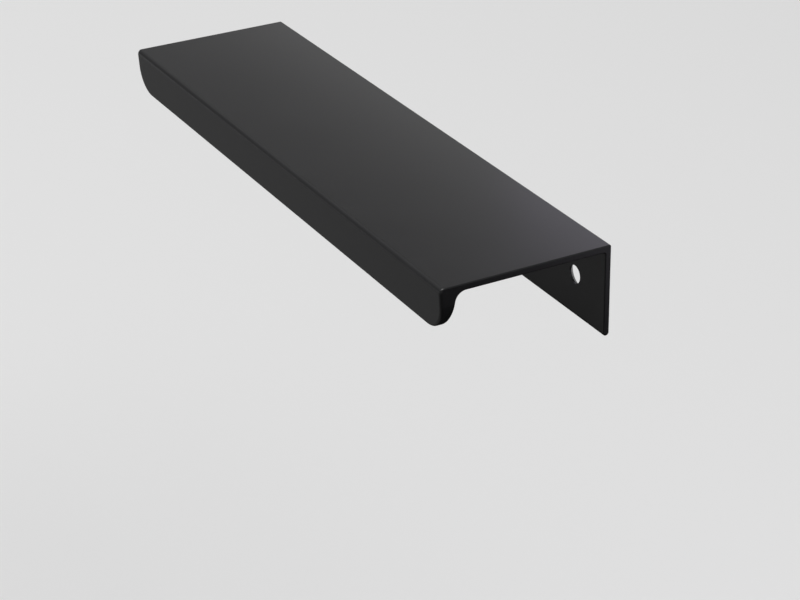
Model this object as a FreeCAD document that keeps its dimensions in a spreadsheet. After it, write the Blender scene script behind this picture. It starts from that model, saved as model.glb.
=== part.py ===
# Tab pull, cut from one length of extruded aluminium section.
# A thin plate has a tapered finger lip turned down along its front and a screwed leg along its back.
# Frame: X runs along the pull, the lip is towards -Y and Z is up. The origin lies midway between
# the two screw holes, on the inner face of the leg, which is the face that the pull is fixed by.
import FreeCAD, Part
import enum
import os
import Sketcher

NODE = "tab_pull"

# Driving dimensions in millimetres: alias, size, meaning
SIZES = [
    ("pull_length", 150.0, "the cut length, end to end"),
    ("pull_depth", 39.1, "front of the lip to the back of the leg"),
    ("plate_wall", 1.5, "thickness of the top plate"),
    ("leg_wall", 1.4, "thickness of the leg"),
    ("leg_height", 20.25, "top face to the leg's lower end"),
    ("lip_height", 10.2, "top face to the lip's lower edge"),
    ("lip_root", 4.0, "thickness of the lip where it leaves the plate"),
    ("lip_tip", 1.6, "thickness of the lip at its lower edge"),
    ("lip_lean", 0.5, "how far the lip's front face leans back over its height"),
    ("lip_corner", 6.2, "radius of the lip's lower corners, seen from the front"),
    ("root_fillet", 2.4, "radius behind the lip, where the fingertips curl"),
    ("front_round", 1.1, "radius of the plate's front top edge"),
    ("heel_round", 0.4, "outer radius where the plate turns down into the leg"),
    ("seat_fillet", 0.5, "inner radius where the plate turns down into the leg"),
    ("lip_edge", 0.6, "radius on the cut edges of the lip's front face, which a hand meets first"),
    ("edge_break", 0.25, "radius left on the other cut edges by deburring and coating"),
    ("hole_inset", 11.0, "screw hole to the nearer end"),
    ("screw_bore", 4.0, "diameter of the screw holes"),
    ("screw_sink", 5.8, "diameter of the countersinks on the leg's outer face"),
    ("sink_land", 0.35, "plain wall left below a countersink"),
]

# The holes sit halfway up the leg's inner face, so the top face lies this far above the origin
TOP_LEVEL = "(Sizes.plate_wall + Sizes.leg_height) / 2"
# Each hole lies this far from the middle of the pull
HOLE_REACH = "Sizes.pull_length / 2 - Sizes.hole_inset"
SINK_ANGLE = "90 deg"
# The radius on a cut edge stays within this share of the tightest radius or wall that it runs round
EDGE_SHARE = 0.65

# Two positions closer than this, in millimetres, are the same place
NEAR = 0.001
# Two faces whose normals agree this well join without an edge
FLUSH = 0.99


class Axis(enum.IntEnum):
    """The numbers of a sketch's own axes."""
    ACROSS = -1
    UP = -2


class Point(enum.IntEnum):
    """The numbers of the points of a line, arc or circle in a sketch."""
    START = 1
    END = 2
    CENTRE = 3


ORIGIN = (Axis.ACROSS, Point.START)


def make_sheet(doc):
    sheet = doc.addObject("Spreadsheet::Sheet", "Sizes")
    for row, (alias, size, meaning) in enumerate(SIZES, 1):
        sheet.set(f"A{row}", meaning)
        sheet.set(f"B{row}", str(size))
        sheet.setAlias(f"B{row}", alias)
    doc.recompute()
    return sheet


def section_corners(size):
    """The sharp corners of the cross-section, as Y and Z, from the heel forwards and round."""
    top = (size.plate_wall + size.leg_height) / 2
    front = size.leg_wall - size.pull_depth
    under = top - size.plate_wall
    lip_end = top - size.lip_height
    leg_end = top - size.leg_height + size.leg_wall / 2
    return {
        "heel": FreeCAD.Vector(size.leg_wall, top),
        "brow": FreeCAD.Vector(front, top),
        "lip_front": FreeCAD.Vector(front + size.lip_lean, lip_end),
        "lip_back": FreeCAD.Vector(front + size.lip_lean + size.lip_tip, lip_end),
        "lip_root": FreeCAD.Vector(front + size.lip_root, under),
        "seat": FreeCAD.Vector(0, under),
        "leg_inner": FreeCAD.Vector(0, leg_end),
        "leg_outer": FreeCAD.Vector(size.leg_wall, leg_end),
    }


def make_sketch(body, name, role):
    plane = next(item for item in body.Origin.OriginFeatures if item.Role == role)
    sketch = body.newObject("Sketcher::SketchObject", name)
    sketch.AttachmentSupport = [(plane, "")]
    sketch.MapMode = "FlatFace"
    return sketch


def tie(sketch, kind, *places):
    sketch.addConstraint(Sketcher.Constraint(kind, *places))


def dimension(sketch, name, formula, kind, *places):
    """Adds a named dimension to a sketch and binds it to the sheet."""
    sketch.addConstraint(Sketcher.Constraint(kind, *places))
    sketch.renameConstraint(sketch.ConstraintCount - 1, name)
    sketch.setExpression(f"Constraints.{name}", formula)


def make_section(body, size):
    """The cross-section of the extrusion, its leg ending in a full round."""
    corner = section_corners(size)
    sketch = make_sketch(body, "section", "YZ_Plane")
    outline = list(corner.values())[:-1]
    lines = [Part.LineSegment(a, b) for a, b in zip(outline, outline[1:])]
    chain = sketch.addGeometry(lines)
    top, front, edge, back, under, inner = chain
    round_middle = (corner["leg_inner"] + corner["leg_outer"]) / 2 - FreeCAD.Vector(0, size.leg_wall / 2)
    leg_round = sketch.addGeometry(Part.Arc(corner["leg_inner"], round_middle, corner["leg_outer"]))
    outer = sketch.addGeometry(Part.LineSegment(corner["leg_outer"], corner["heel"]))

    for before, after in zip(chain, chain[1:]):
        tie(sketch, "Coincident", before, Point.END, after, Point.START)
    tie(sketch, "Tangent", inner, Point.END, leg_round, Point.START)
    tie(sketch, "Tangent", leg_round, Point.END, outer, Point.START)
    tie(sketch, "Coincident", outer, Point.END, top, Point.START)
    for line in (top, edge, under):
        tie(sketch, "Horizontal", line)
    for line in (inner, outer):
        tie(sketch, "Vertical", line)
    tie(sketch, "PointOnObject", inner, Point.START, Axis.UP)

    heel = (top, Point.START)
    brow = (front, Point.START)
    leg_straight = size.leg_height - size.leg_wall / 2
    dimension(sketch, "top_level", TOP_LEVEL, "DistanceY", *ORIGIN, *heel, corner["heel"].y)
    dimension(sketch, "leg_wall", "Sizes.leg_wall", "DistanceX", *ORIGIN, *heel, size.leg_wall)
    dimension(sketch, "leg_straight", "Sizes.leg_height - Sizes.leg_wall / 2", "DistanceY",
              leg_round, Point.CENTRE, *heel, leg_straight)
    dimension(sketch, "pull_depth", "Sizes.pull_depth", "DistanceX", *brow, *heel, size.pull_depth)
    dimension(sketch, "plate_wall", "Sizes.plate_wall", "DistanceY",
              under, Point.END, *heel, size.plate_wall)
    dimension(sketch, "lip_height", "Sizes.lip_height", "DistanceY",
              front, Point.END, *brow, size.lip_height)
    dimension(sketch, "lip_lean", "Sizes.lip_lean", "DistanceX", *brow, front, Point.END, size.lip_lean)
    dimension(sketch, "lip_tip", "Sizes.lip_tip", "DistanceX",
              edge, Point.START, edge, Point.END, size.lip_tip)
    dimension(sketch, "lip_root", "Sizes.lip_root", "DistanceX", *brow, under, Point.START, size.lip_root)
    return sketch


def extrude(body, section):
    pad = body.newObject("PartDesign::Pad", "extrusion")
    pad.Profile = section
    pad.SideType = "Symmetric"
    pad.setExpression("Length", "Sizes.pull_length")
    body.Document.recompute()
    return pad


def middle_of(edge):
    return edge.valueAt((edge.FirstParameter + edge.LastParameter) / 2)


def round_edges(body, name, base, wanted, radius):
    """Rounds the edges of a feature whose middle passes a test, to a radius from the sheet."""
    edges = [f"Edge{number}" for number, edge in enumerate(base.Shape.Edges, 1) if wanted(middle_of(edge))]
    fillet = body.newObject("PartDesign::Fillet", name)
    fillet.Base = (base, edges)
    fillet.setExpression("Radius", radius)
    body.Document.recompute()
    return fillet


def round_section(body, base, size):
    """The four radii that run the whole length, as the extrusion die leaves them."""
    radii = [
        ("brow", "Sizes.front_round"),
        ("heel", "Sizes.heel_round"),
        ("lip_root", "Sizes.root_fillet"),
        ("seat", "Sizes.seat_fillet"),
    ]
    corner = section_corners(size)
    for name, radius in radii:
        place = FreeCAD.Vector(0, corner[name].x, corner[name].y)
        base = round_edges(body, f"{name}_radius", base,
                           lambda middle: middle.distanceToPoint(place) < NEAR, radius)
    return base


def round_lip_corners(body, base, size):
    """The lip's two lower corners, milled round after the length is cut."""
    end = size.pull_length / 2
    lip_end = section_corners(size)["lip_front"].y

    def wanted(middle):
        return abs(abs(middle.x) - end) < NEAR and abs(middle.z - lip_end) < NEAR

    free_height = "Sizes.lip_height - Sizes.plate_wall - Sizes.root_fillet"
    return round_edges(body, "lip_corners", base, wanted, f"min(Sizes.lip_corner; {free_height})")


def drill_leg(body, size):
    """Two countersunk screw holes, drilled in from the leg's outer face."""
    sketch = make_sketch(body, "hole_centres", "XZ_Plane")
    # This plane's normal points to -Y, so the outer face lies at a negative offset
    sketch.setExpression("AttachmentOffset.Base.z", "-Sizes.leg_wall")
    reach = size.pull_length / 2 - size.hole_inset
    normal = FreeCAD.Vector(0, 0, 1)
    for name, x in (("left", -reach), ("right", reach)):
        hole = sketch.addGeometry(Part.Circle(FreeCAD.Vector(x, 0), normal, size.screw_bore / 2))
        centre = (hole, Point.CENTRE)
        span = (*centre, *ORIGIN) if x < 0 else (*ORIGIN, *centre)
        tie(sketch, "PointOnObject", *centre, Axis.ACROSS)
        dimension(sketch, f"{name}_reach", HOLE_REACH, "DistanceX", *span, reach)
        dimension(sketch, f"{name}_bore", "Sizes.screw_bore", "Diameter", hole, size.screw_bore)
    body.Document.recompute()

    holes = body.newObject("PartDesign::Hole", "screw_holes")
    holes.Profile = sketch
    holes.Reversed = True
    holes.DepthType = "Dimension"
    holes.DrillPoint = "Flat"
    # Twice the wall clears the leg and stops well short of the lip
    holes.setExpression("Depth", "2 * Sizes.leg_wall")
    holes.setExpression("Diameter", "Sizes.screw_bore")
    holes.HoleCutType = "Countersink"
    holes.HoleCutCountersinkAngle = SINK_ANGLE
    widest = "Sizes.screw_bore + 2 * (Sizes.leg_wall - Sizes.sink_land)"
    holes.setExpression("HoleCutDiameter", f"min(Sizes.screw_sink; {widest})")
    body.Document.recompute()
    return sketch


def is_sharp(shape, edge):
    """Tells whether the two faces beside an edge meet at an angle."""
    place = middle_of(edge)
    faces = shape.ancestorsOfType(edge, Part.Face)
    one, other = [face.normalAt(*face.Surface.parameter(place)) for face in faces]
    return one.dot(other) < FLUSH


def cut_edges(shape, size):
    """Numbers and middles of the edges that cutting leaves sharp, round both ends and along the lip."""
    end = size.pull_length / 2
    lip_root = section_corners(size)["lip_root"].x
    found = []
    for number, edge in enumerate(shape.Edges, 1):
        middle = middle_of(edge)
        at_end = abs(abs(middle.x) - end) < NEAR
        on_lip = middle.y < lip_root
        if (at_end or on_lip) and is_sharp(shape, edge):
            found.append((number, middle))
    return found


def on_lip_front(place, size):
    """Tells whether a place lies in the plane of the lip's front face."""
    brow = section_corners(size)["brow"]
    lean = size.lip_lean / size.lip_height
    return abs(place.y - brow.x - lean * (brow.y - place.z)) < NEAR


def break_edges(body, size):
    """Rounds the cut edges, which are one smooth run, more on the lip's front than elsewhere."""
    lip_radius = min(size.lip_edge, EDGE_SHARE * min(size.front_round, size.lip_tip))
    radius = min(size.edge_break, EDGE_SHARE * min(size.heel_round, size.leg_wall / 2))
    corner = section_corners(size)["brow"]
    rounded = []
    for number, middle in cut_edges(body.Shape, size):
        brow = FreeCAD.Vector(middle.x, corner.x, corner.y)
        if on_lip_front(middle, size):
            rounded.append((number, lip_radius, lip_radius))
        # The short arcs at the brow get no radius of their own, so one radius blends into the other there
        elif middle.distanceToPoint(brow) > size.front_round:
            rounded.append((number, radius, radius))
    pull = body.Document.addObject("Part::Fillet", "edge_break")
    pull.Base = body
    pull.Edges = rounded
    body.Document.recompute()
    return pull


def check(doc, sketches, stages):
    """Stops the build unless every step came out sound and each stage took something away."""
    for item in doc.Objects:
        if "Invalid" in item.State or "Error" in item.State:
            raise RuntimeError(f"{item.Name} did not build: {item.State}")
    for sketch in sketches:
        if not sketch.FullyConstrained:
            raise RuntimeError(f"{sketch.Name} is not fully constrained")
    for before, after in zip(stages, stages[1:]):
        if after.Shape.isNull() or not after.Shape.isValid() or len(after.Shape.Solids) != 1:
            raise RuntimeError(f"{after.Name} is not one valid solid")
        if after.Shape.Volume >= before.Shape.Volume:
            raise RuntimeError(f"{after.Name} cut nothing from {before.Name}")


def main():
    doc = FreeCAD.newDocument("tab_pull")
    size = make_sheet(doc)
    body = doc.addObject("PartDesign::Body", "drilled_blank")
    section = make_section(body, size)
    blank = extrude(body, section)
    blank = round_section(body, blank, size)
    blank = round_lip_corners(body, blank, size)
    hole_centres = drill_leg(body, size)
    pull = break_edges(body, size)
    pull.Label = NODE
    check(doc, [section, hole_centres], [blank, body, pull])

    os.makedirs("parts", exist_ok=True)
    pull.Shape.exportStep(f"parts/{pull.Label}.step")
    box = pull.Shape.optimalBoundingBox()
    print(f"{pull.Label}: {box.XLength:.2f} x {box.YLength:.2f} x {box.ZLength:.2f} mm,"
          f" {pull.Shape.Volume:.1f} cubic mm, {len(pull.Shape.Faces)} faces")


main()
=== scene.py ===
# %% [markdown]
# # A tab pull in matt black powder coat
#
# This pull is one length of extruded aluminium: a thin plate with a tapered finger lip turned down
# along its front and a screwed leg turned down along its back. Its solid comes ready made from the CAD
# model, with every round and hole, so this lesson is about the two things that a solid lacks: a finish
# with the small unevenness of a real one, and light that lets the finish be seen. The first step loads
# the solid and measures its outer size.

# %% Load the solid and measure it
import math

import bpy
from mathutils import Matrix, Vector


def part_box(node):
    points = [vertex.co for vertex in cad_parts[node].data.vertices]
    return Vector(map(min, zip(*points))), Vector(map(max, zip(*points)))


MM = 0.001

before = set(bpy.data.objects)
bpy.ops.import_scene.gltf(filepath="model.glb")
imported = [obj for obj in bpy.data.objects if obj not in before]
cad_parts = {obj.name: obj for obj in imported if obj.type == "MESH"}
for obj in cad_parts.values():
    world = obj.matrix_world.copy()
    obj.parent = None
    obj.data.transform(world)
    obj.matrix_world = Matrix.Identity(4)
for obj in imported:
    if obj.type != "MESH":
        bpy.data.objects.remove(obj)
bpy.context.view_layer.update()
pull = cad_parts["tab_pull"]
pull_low, pull_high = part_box("tab_pull")
pull_middle = (pull_low + pull_high) / 2
print("the pull measures", [round(side / MM, 2) for side in pull_high - pull_low], "mm")

# %% [markdown]
# ## Two helpers for every finish
#
# Paint charts and screens give colours as sRGB hex values, but a shader works in linear light, so one
# function turns the first into the second. The other function adds a node to a material and fills its
# sockets, each with a plain value or with a link from another node. Written out by hand, every node
# takes four or five lines, and the recipe of a finish gets lost among them.

# %% Colours and nodes
def linear(hex_colour):
    """An sRGB hex colour, such as "#808080", as the linear RGBA that a shader takes."""
    levels = [int(hex_colour[place:place + 2], 16) / 255 for place in (1, 3, 5)]
    # The sRGB curve has a short straight foot and then rises as a power
    return [((level + 0.055) / 1.055) ** 2.4 if level > 0.04045 else level / 12.92
            for level in levels] + [1.0]


def add_node(tree, kind, sockets=None):
    """Adds a node and fills its sockets, each with a value or with a link from another node."""
    node = tree.nodes.new(kind)
    for name, value in (sockets or {}).items():
        if isinstance(value, bpy.types.NodeSocket):
            tree.links.new(value, node.inputs[name])
        else:
            node.inputs[name].default_value = value
    return node


print("half grey in linear light:", [round(level, 3) for level in linear("#808080")[:3]])

# %% [markdown]
# ## The coat: polyester powder, sprayed on dry and baked
#
# Powder coat melts and flows in the oven, but not quite level. It keeps a very low swell, which
# painters call orange peel, with a fine grain on top from the matting agent. The swell makes the
# broad reflections waver a little and the grain spreads them out, so the black looks soft and deep.
# One flat colour would show neither. The bumps could be modelled, but they are a few thousandths of
# a millimetre high, so a bump map gives the same look and leaves the solid as it is.

# %% Mix the coat
SWELL_WIDTH = 1.4 * MM
SWELL_HEIGHT = 0.003 * MM
# The real grain is about 0.05 mm wide, too fine to show, so it is drawn four times as coarse
GRAIN_WIDTH = 0.2 * MM
GRAIN_HEIGHT = 0.0015 * MM
CLOUD_WIDTH = 14 * MM
DEEPEST_BLACK = "#222223"
PALEST_BLACK = "#272728"
LEAST_ROUGH = 0.28
MOST_ROUGH = 0.32
COAT_IOR = 1.5


def black_powder_coat():
    """Matt black polyester powder coat on aluminium: a soft deep black with blurred reflections."""
    material = bpy.data.materials.new("black_powder_coat")
    material.use_nodes = True
    tree = material.node_tree
    tree.nodes.clear()
    place = add_node(tree, "ShaderNodeTexCoord").outputs["Object"]

    # Powder never lands quite evenly, so the black drifts a little from place to place
    clouds = add_node(tree, "ShaderNodeTexNoise", {
        "Vector": place, "Scale": 1 / CLOUD_WIDTH, "Detail": 2.0})
    black = add_node(tree, "ShaderNodeValToRGB", {"Fac": clouds.outputs["Fac"]})
    black.color_ramp.elements[0].color = linear(DEEPEST_BLACK)
    black.color_ramp.elements[1].color = linear(PALEST_BLACK)
    gloss = add_node(tree, "ShaderNodeMapRange", {
        "Value": clouds.outputs["Fac"], "To Min": LEAST_ROUGH, "To Max": MOST_ROUGH})

    swell = add_node(tree, "ShaderNodeTexNoise", {
        "Vector": place, "Scale": 1 / SWELL_WIDTH, "Detail": 1.0})
    grain = add_node(tree, "ShaderNodeTexNoise", {
        "Vector": place, "Scale": 1 / GRAIN_WIDTH, "Detail": 2.0})
    swollen = add_node(tree, "ShaderNodeBump", {
        "Height": swell.outputs["Fac"], "Distance": SWELL_HEIGHT})
    grained = add_node(tree, "ShaderNodeBump", {
        "Height": grain.outputs["Fac"], "Distance": GRAIN_HEIGHT, "Normal": swollen.outputs["Normal"]})

    coat = add_node(tree, "ShaderNodeBsdfPrincipled", {
        "Base Color": black.outputs["Color"], "Roughness": gloss.outputs["Result"],
        "IOR": COAT_IOR, "Normal": grained.outputs["Normal"]})
    add_node(tree, "ShaderNodeOutputMaterial", {"Surface": coat.outputs["BSDF"]})
    return material


pull.data.materials.clear()
pull.data.materials.append(black_powder_coat())
print("coated", pull.name, "with", pull.data.materials[0].name)

# %% [markdown]
# ## The stage
#
# The pull is made to be fixed by its leg, so it can't stand by itself. Here it hangs in the air, well
# above a pale floor that fills the picture behind it. A black coat mirrors more light than it scatters,
# so its upright faces would show a floor this bright as a grey haze. Painting those faces darker would
# look wrong under any other light. Photographers lay cards around the work instead, and so does this
# step: a grey card in front for the lip to mirror, a black one below and beside the pull for the cut
# end, and a paler one with a trace of violet further back, which tints the end of the leg. The cards
# are hidden from the camera and cast no shadow, so they are there only to be mirrored.

# %% Lay the floor and the cards
FLOOR_COLOUR = "#f0f0f0"
FLOOR_LEVEL = -0.30
# Far enough for the edge of the floor to look like a level horizon from every side
FLOOR_REACH = 40.0
CARD_LEVEL = -0.06
CARD_REACH = 0.45
CARD_THICKNESS = 1 * MM
BLACK_CARD_COLOUR = "#202020"
GREY_CARD_COLOUR = "#7a7a7a"
VIOLET_CARD_COLOUR = "#c4c1cc"
PAPER_ROUGHNESS = 0.9
GREY_CARD_BACK = pull_low.y - 8 * MM
GREY_CARD_SIDE = pull_high.x + 15 * MM
BLACK_CARD_BACK = pull_high.y + 70 * MM


def paper_sheet(name, near, far, level, colour):
    """A level sheet of coloured paper, between two corners, that belongs to the stage."""
    material = bpy.data.materials.new(name + "_paper")
    material.use_nodes = True
    paper = material.node_tree.nodes["Principled BSDF"]
    paper.inputs["Base Color"].default_value = linear(colour)
    paper.inputs["Roughness"].default_value = PAPER_ROUGHNESS
    (x0, y0), (x1, y1) = near, far
    corners = [(x0, y0, level), (x1, y0, level), (x1, y1, level), (x0, y1, level)]
    mesh = bpy.data.meshes.new(name)
    mesh.from_pydata(corners, [], [(0, 1, 2, 3)])
    mesh.materials.append(material)
    sheet = bpy.data.objects.new(name, mesh)
    bpy.context.scene.collection.objects.link(sheet)
    return sheet


def hidden_card(name, near, far, level, colour):
    """A sheet that only the coat mirrors: the camera and the lamps pass it by."""
    card = paper_sheet(name, near, far, level, colour)
    card.visible_camera = False
    card.visible_shadow = False


paper_sheet("floor", (-FLOOR_REACH, -FLOOR_REACH), (FLOOR_REACH, FLOOR_REACH), FLOOR_LEVEL, FLOOR_COLOUR)
hidden_card("black_card", (-CARD_REACH, -CARD_REACH), (CARD_REACH, BLACK_CARD_BACK),
            CARD_LEVEL, BLACK_CARD_COLOUR)
# The grey card lies on the black one
hidden_card("grey_card", (-CARD_REACH, -CARD_REACH), (GREY_CARD_SIDE, GREY_CARD_BACK),
            CARD_LEVEL + CARD_THICKNESS, GREY_CARD_COLOUR)
hidden_card("violet_card", (GREY_CARD_SIDE, BLACK_CARD_BACK), (CARD_REACH, CARD_REACH),
            CARD_LEVEL, VIOLET_CARD_COLOUR)
print("the floor lies", round((pull_low.z - FLOOR_LEVEL) / MM), "mm below the pull")

# %% [markdown]
# ## Light
#
# Matt black shows its shape by what it mirrors, so each lamp has a place for a reason. The key is one
# broad soft box. It hangs high up, so that the floor is lit evenly, and forward of the pull, so that the
# small round along the cut end doesn't mirror it as a bright line. A long strip stands low behind the
# pull. The rear of the plate mirrors it most, so the plate grows paler from its front edge to its back
# edge, and a small violet box before it adds a little more at the near corner. A dim box up at the far
# end is for the round along the front of the plate, which then turns gently into the lip. One picture
# wrapped round the scene could light the part as well, but its reflections can't be moved one at a time.
# A level of 1 is a lamp whose own face looks white, and the walls give a dim even light from all sides.

# %% Set up the lamps
KEY_PLACE = Vector((-0.9, -2.0, 6.25))
KEY_WIDTH = 5.2
KEY_DEPTH = 6.5
KEY_LEVEL = 4.3
FILL_PLACE = Vector((-0.47, 0.014, 0.377))
FILL_WIDTH = 250 * MM
FILL_HEIGHT = 350 * MM
FILL_LEVEL = 0.2
STRIP_WIDTH = 900 * MM
STRIP_HEIGHT = 50 * MM
STRIP_LEVEL = 0.66
VIOLET_BOX_WIDTH = 90 * MM
VIOLET_BOX_HEIGHT = 40 * MM
VIOLET_BOX_LEVEL = 0.6
VIOLET_BOX_COLOUR = "#e2d5ff"
WHITE = "#ffffff"
WALL_LEVEL = 0.12
FORWARD = Vector((0, -1, 0))

# The strip and the violet box are placed from the middle of the plate's back edge
back_edge = Vector((pull_middle.x, pull_high.y, pull_high.z))
STRIP_PLACE = back_edge + Vector((-150, 88, 57)) * MM
VIOLET_BOX_PLACE = back_edge + Vector((-50, 83, 52)) * MM


def soft_box(name, place, facing, width, height, level, colour=WHITE):
    """A soft box whose level is how bright its own face looks, where 1 is white."""
    lamp = bpy.data.lights.new(name, "AREA")
    lamp.shape = "RECTANGLE"
    lamp.size = width
    lamp.size_y = height
    lamp.energy = level * math.pi * width * height
    lamp.color = linear(colour)[:3]
    box = bpy.data.objects.new(name, lamp)
    box.location = place
    box.rotation_euler = facing.to_track_quat("-Z", "Y").to_euler()
    box.visible_camera = False
    bpy.context.scene.collection.objects.link(box)


soft_box("key_box", KEY_PLACE, pull_middle - KEY_PLACE, KEY_WIDTH, KEY_DEPTH, KEY_LEVEL)
soft_box("fill_box", FILL_PLACE, pull_middle - FILL_PLACE, FILL_WIDTH, FILL_HEIGHT, FILL_LEVEL)
soft_box("back_strip", STRIP_PLACE, FORWARD, STRIP_WIDTH, STRIP_HEIGHT, STRIP_LEVEL)
soft_box("violet_box", VIOLET_BOX_PLACE, FORWARD, VIOLET_BOX_WIDTH, VIOLET_BOX_HEIGHT,
         VIOLET_BOX_LEVEL, VIOLET_BOX_COLOUR)

scene = bpy.context.scene
scene.world = bpy.data.worlds.new("studio_walls")
scene.world.use_nodes = True
walls = scene.world.node_tree.nodes["Background"]
walls.inputs["Color"].default_value = linear(WHITE)
walls.inputs["Strength"].default_value = WALL_LEVEL
scene.view_settings.view_transform = "Standard"

# %% [markdown]
# ## The camera
#
# A long lens from a short way off gives a mild perspective, in which the far end looks about four fifths
# as large as the near end. The camera looks down on the near end, so that the plate, the lip and the cut
# end all show at once. It could be placed by eye, but the pull's long straight edges fix it better: the
# values below are those at which the edges of the solid fall on the edges in the picture.

# %% Aim the camera
LENS = 99.51
AZIMUTH = math.radians(61.97)
ELEVATION = math.radians(27.18)
ROLL = math.radians(-1.11)
DISTANCE = 417.7 * MM
AIM = Vector((74.77, -46.14, 10.875)) * MM


def place_camera():
    """A camera at a distance from the point that it aims at, turned, raised and rolled."""
    across = math.cos(ELEVATION)
    outwards = Vector((math.sin(AZIMUTH) * across, -math.cos(AZIMUTH) * across, math.sin(ELEVATION)))
    placed = Matrix.Translation(AIM + outwards * DISTANCE)
    turned = outwards.to_track_quat("Z", "Y").to_matrix().to_4x4()
    rolled = Matrix.Rotation(ROLL, 4, "Z")
    camera = bpy.data.objects.new("camera", bpy.data.cameras.new("camera"))
    camera.data.lens = LENS
    camera.matrix_world = placed @ turned @ rolled
    scene.collection.objects.link(camera)
    return camera


scene.camera = place_camera()
print("the camera stands at", [round(value / MM) for value in scene.camera.location], "mm")
